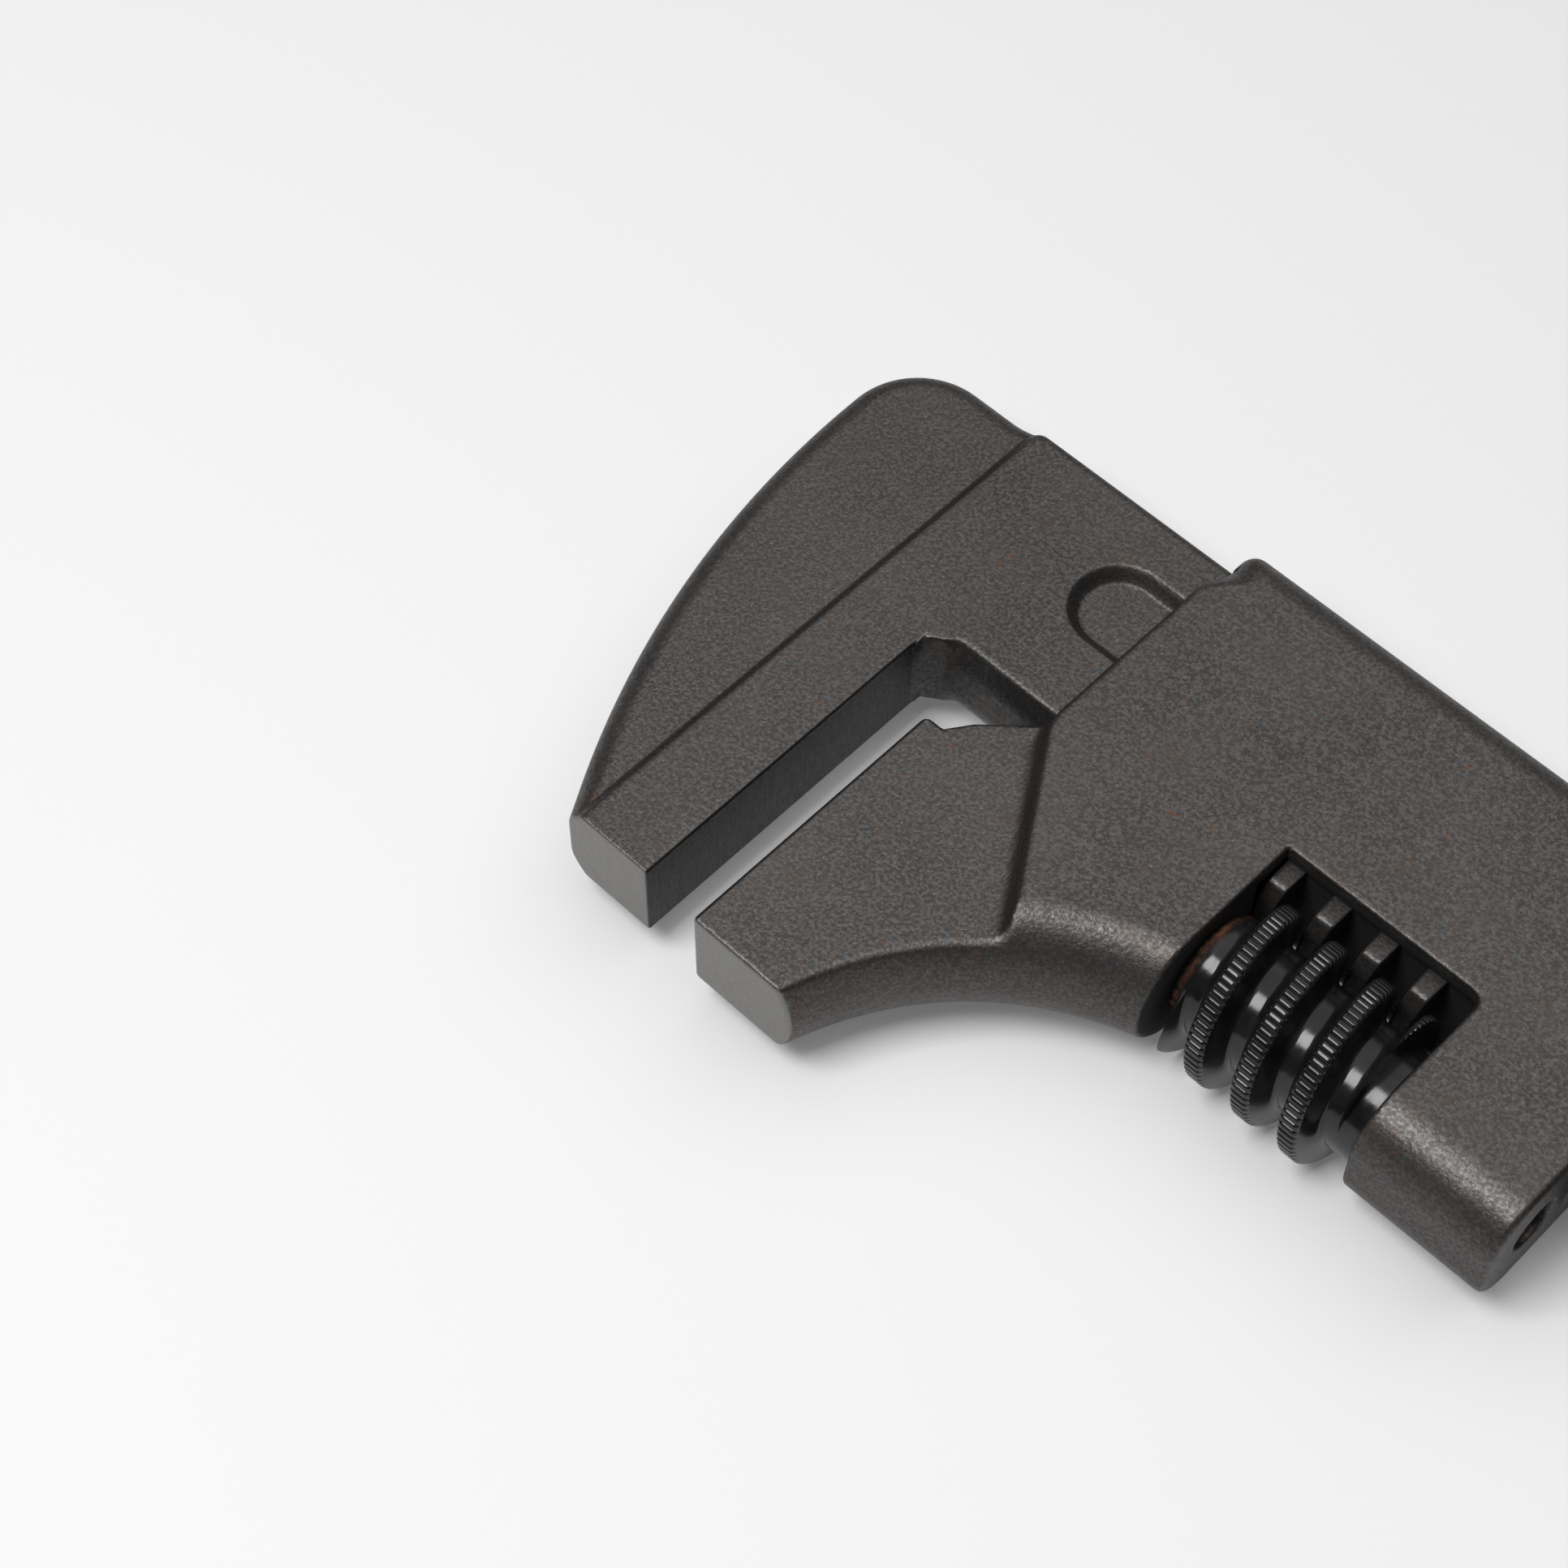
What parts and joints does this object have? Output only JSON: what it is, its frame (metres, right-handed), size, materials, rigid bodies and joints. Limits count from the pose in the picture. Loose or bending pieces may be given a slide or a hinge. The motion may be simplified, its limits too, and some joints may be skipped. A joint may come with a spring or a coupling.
{
  "type": "adjustable wrench",
  "caption": "Auto-pattern adjustable wrench: jaws square to the handle, a worm knurl in a side window that drives a rack on the sliding jaw's shank, and an I-section handle with a hang hole.",
  "frame": {"origin": "bottom centre of the wrench's box, with the jaws open as shown", "axes": "+X along the handle towards its end, +Y across it from the jaw tips to the shank's outer edge, +Z through the thickness"},
  "size_m": [0.2876, 0.0806, 0.0214],
  "materials": {
    "forged_body": "forged steel, tumbled and darkened, fine sparkling grain, rust specks",
    "forged_jaw": "forged steel, tumbled and darkened, machined grip face and ground tip",
    "black_knurl": "glossy black oxide on turned steel",
    "steel_screw": "plain turned steel, dulled"
  },
  "bodies": {
    "frame": {"body": "forged_body", "axle_screw": "steel_screw"},
    "jaw": {"sliding_jaw": "forged_jaw"},
    "knurl": {"knurl": "black_knurl"}
  },
  "joints": [
    {"name": "knurl_spin", "type": "hinge", "parent": "frame", "child": "knurl", "pos_m": [-0.05045, -0.00275, 0.0107], "axis": [1, 0, 0], "range_deg": [-421, 2620]},
    {"name": "jaw_slide", "type": "slide", "parent": "frame", "child": "jaw", "axis": [-1, 0, 0], "range_m": [-0.0076, 0.0473]}
  ],
  "couplings": [
    {"joint": "knurl_spin", "follows": "jaw_slide", "rad_per_m": 966.64}
  ]
}
